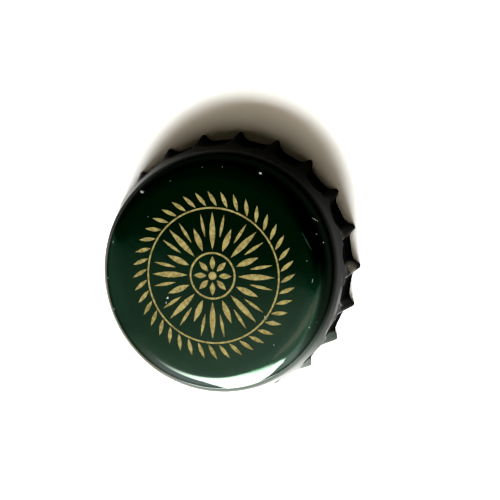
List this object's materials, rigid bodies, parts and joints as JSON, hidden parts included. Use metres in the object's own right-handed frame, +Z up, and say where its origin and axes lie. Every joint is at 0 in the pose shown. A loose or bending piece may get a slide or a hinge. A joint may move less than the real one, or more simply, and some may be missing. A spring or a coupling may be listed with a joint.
{
  "type": "crown bottle cap",
  "caption": "Pressed tinplate crown cap with a fluted skirt, a rounded shoulder, a printed panel and a moulded sealing liner; opened, its rim flared to one side.",
  "frame": {"origin": "on the resting plane, at the middle of the skirt's rim", "axes": "+Z up through the panel; +X through a flute tip; +Y is the upright of the print"},
  "size_m": [0.0296, 0.0298, 0.006],
  "materials": {
    "green_lacquer": "glossy dark green lacquer on tinplate, bare spots where it is scuffed",
    "liner_compound": "soft pale moulded sealing compound",
    "gold_ink": "satin gold ink"
  },
  "bodies": {
    "root": {"crown_shell": "green_lacquer", "sealing_liner": "liner_compound", "gold_print": "gold_ink"}
  },
  "joints": []
}
